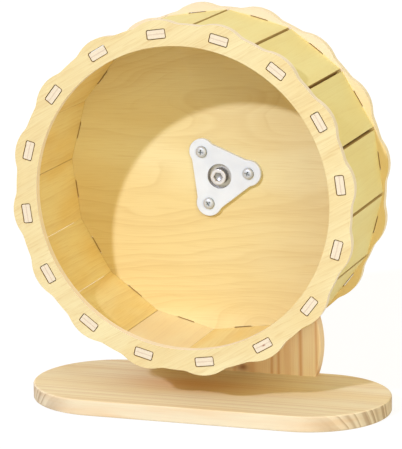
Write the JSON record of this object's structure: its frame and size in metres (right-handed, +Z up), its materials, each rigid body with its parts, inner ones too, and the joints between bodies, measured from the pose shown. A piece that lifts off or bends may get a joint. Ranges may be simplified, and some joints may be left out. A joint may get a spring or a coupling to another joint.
{
  "type": "rodent exercise wheel",
  "caption": "Wooden running wheel for a small pet: a slatted plywood drum with a scalloped rim turns on a ball-bearing hub, held by one upright on a base board with round ends.",
  "frame": {"origin": "centre of the base board's underside", "axes": "+X along the base board to the right, +Y to the back along the axle, +Z up; the drum opens towards -Y"},
  "size_m": [0.23, 0.1077, 0.247],
  "materials": {
    "pine_base": "sanded pine, bare",
    "pine_upright": "sanded pine, bare",
    "ring_plywood": "sanded plywood, bare, with cut edges",
    "disc_plywood": "sanded plywood, bare, with cut edges",
    "slat_plywood": "sanded plywood, bare",
    "hub_plastic": "moulded white plastic, satin",
    "screw_steel": "zinc plated",
    "bolt_steel": "zinc plated",
    "bearing_steel": "ground and polished",
    "shield_steel": "pressed sheet",
    "cage_steel": "pressed sheet",
    "spacer_aluminium": "turned"
  },
  "bodies": {
    "stand": {"base_board": "pine_base", "upright": "pine_upright", "base_screws": "screw_steel", "axle_bolt": "bolt_steel", "axle_spacer": "spacer_aluminium", "axle_washer": "bolt_steel", "axle_nut": "bolt_steel", "bearing_inner_race": "bearing_steel"},
    "wheel": {"front_ring": "ring_plywood", "rear_disc": "disc_plywood", "slat_01": "slat_plywood", "slat_02": "slat_plywood", "slat_03": "slat_plywood", "slat_04": "slat_plywood", "slat_05": "slat_plywood", "slat_06": "slat_plywood", "slat_07": "slat_plywood", "slat_08": "slat_plywood", "slat_09": "slat_plywood", "slat_10": "slat_plywood", "slat_11": "slat_plywood", "slat_12": "slat_plywood", "slat_13": "slat_plywood", "slat_14": "slat_plywood", "slat_15": "slat_plywood", "slat_16": "slat_plywood", "hub_flange": "hub_plastic", "hub_screws": "screw_steel", "bearing_outer_race": "bearing_steel", "bearing_shield_front": "shield_steel", "bearing_shield_rear": "shield_steel"},
    "ball_set": {"bearing_balls": "bearing_steel", "bearing_cage": "cage_steel"}
  },
  "joints": [
    {"name": "wheel_spin", "type": "hinge", "parent": "stand", "child": "wheel", "pos_m": [0, 0, 0.1393], "axis": [0, 1, 0], "continuous": true},
    {"name": "ball_roll", "type": "hinge", "parent": "stand", "child": "ball_set", "pos_m": [0, 0, 0.1393], "axis": [0, 1, 0], "continuous": true}
  ],
  "couplings": [
    {"joint": "ball_roll", "follows": "wheel_spin", "ratio": 0.64}
  ]
}
